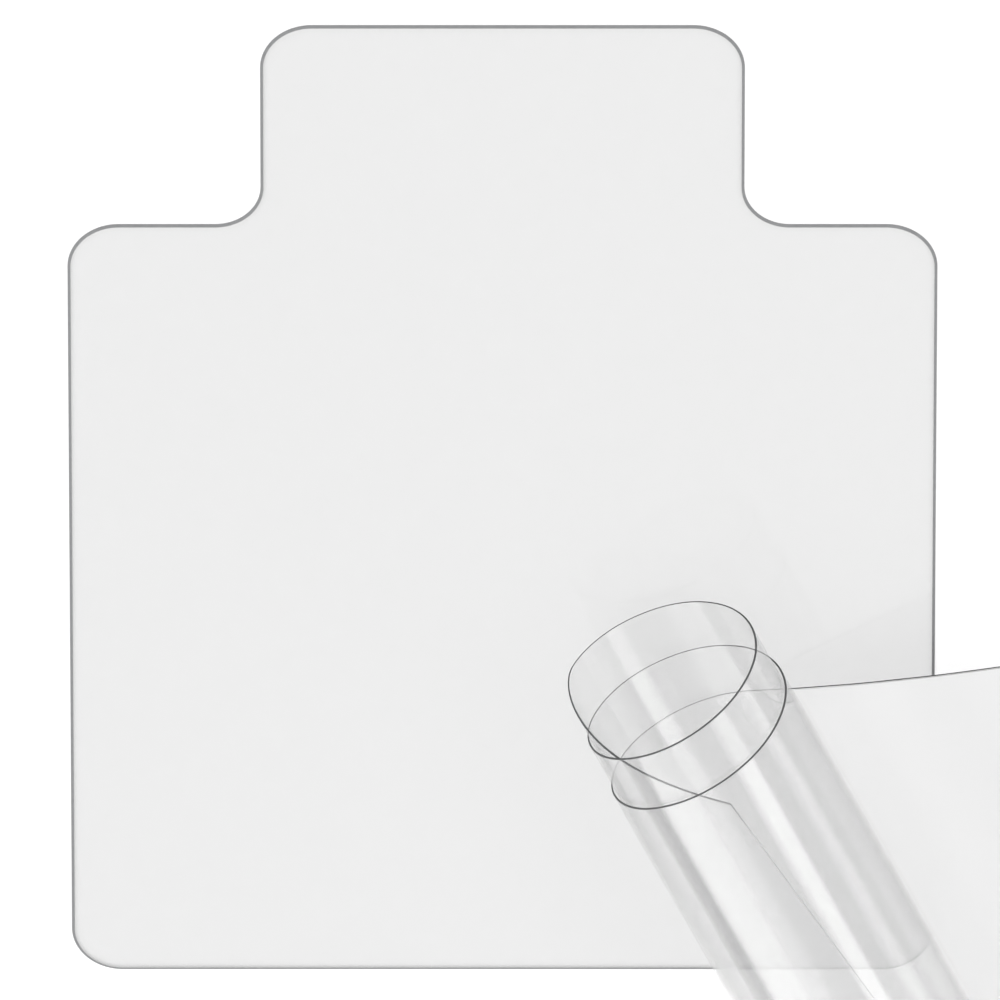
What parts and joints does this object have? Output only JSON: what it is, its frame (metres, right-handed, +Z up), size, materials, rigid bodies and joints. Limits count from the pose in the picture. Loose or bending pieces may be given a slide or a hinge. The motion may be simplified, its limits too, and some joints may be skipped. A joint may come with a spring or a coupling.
{
  "type": "chair mat",
  "caption": "Clear lipped desk chair mat with rounded corners and a bevelled edge, and a part-rolled clear mat that lies across its front corner.",
  "frame": {"origin": "middle of the flat mat's underside, halfway between its front edge and the end of its lip", "axes": "+Z up, +Y from the front edge towards the lip that goes under the desk, +X to the right of someone who faces the desk"},
  "size_m": [1.3519, 1.7263, 0.2244],
  "materials": {
    "clear_vinyl": "clear extruded vinyl sheet, smooth and glossy, with darker cut edges"
  },
  "bodies": {
    "flat_mat": {"flat_mat": "clear_vinyl"},
    "rolled_mat": {"rolled_mat": "clear_vinyl"}
  },
  "joints": [
    {"name": "roll_lift", "type": "slide", "parent": "flat_mat", "child": "rolled_mat", "axis": [0, 0, 1], "range_m": [0, 0.3]}
  ]
}
